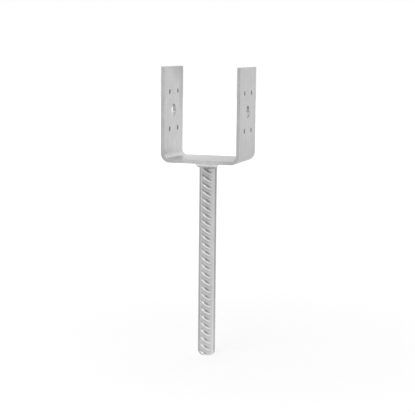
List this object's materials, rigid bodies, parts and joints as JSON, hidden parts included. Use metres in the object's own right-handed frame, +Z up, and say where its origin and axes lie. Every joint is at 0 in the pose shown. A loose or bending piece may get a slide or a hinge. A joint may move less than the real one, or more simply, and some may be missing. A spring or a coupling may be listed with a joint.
{
  "type": "timber post base",
  "caption": "U-shaped steel post base: two drilled legs hold a timber post above a ribbed dowel that is cast into concrete.",
  "frame": {"origin": "middle of the seat for the post, on the top face of the base plate and on the dowel's axis", "axes": "+Z up, out of the seat and along the legs; X across the gap between the legs; the dowel hangs down -Z"},
  "size_m": [0.088, 0.06, 0.316],
  "materials": {
    "galvanised_strip": "hot-dip galvanised flat steel strip, dull grey with faint mottling",
    "galvanised_bar": "hot-dip galvanised ribbed reinforcing bar",
    "galvanised_weld": "rippled weld bead under hot-dip galvanising"
  },
  "bodies": {
    "root": {"fork_bracket": "galvanised_strip", "ribbed_dowel": "galvanised_bar", "weld_bead": "galvanised_weld"}
  },
  "joints": []
}
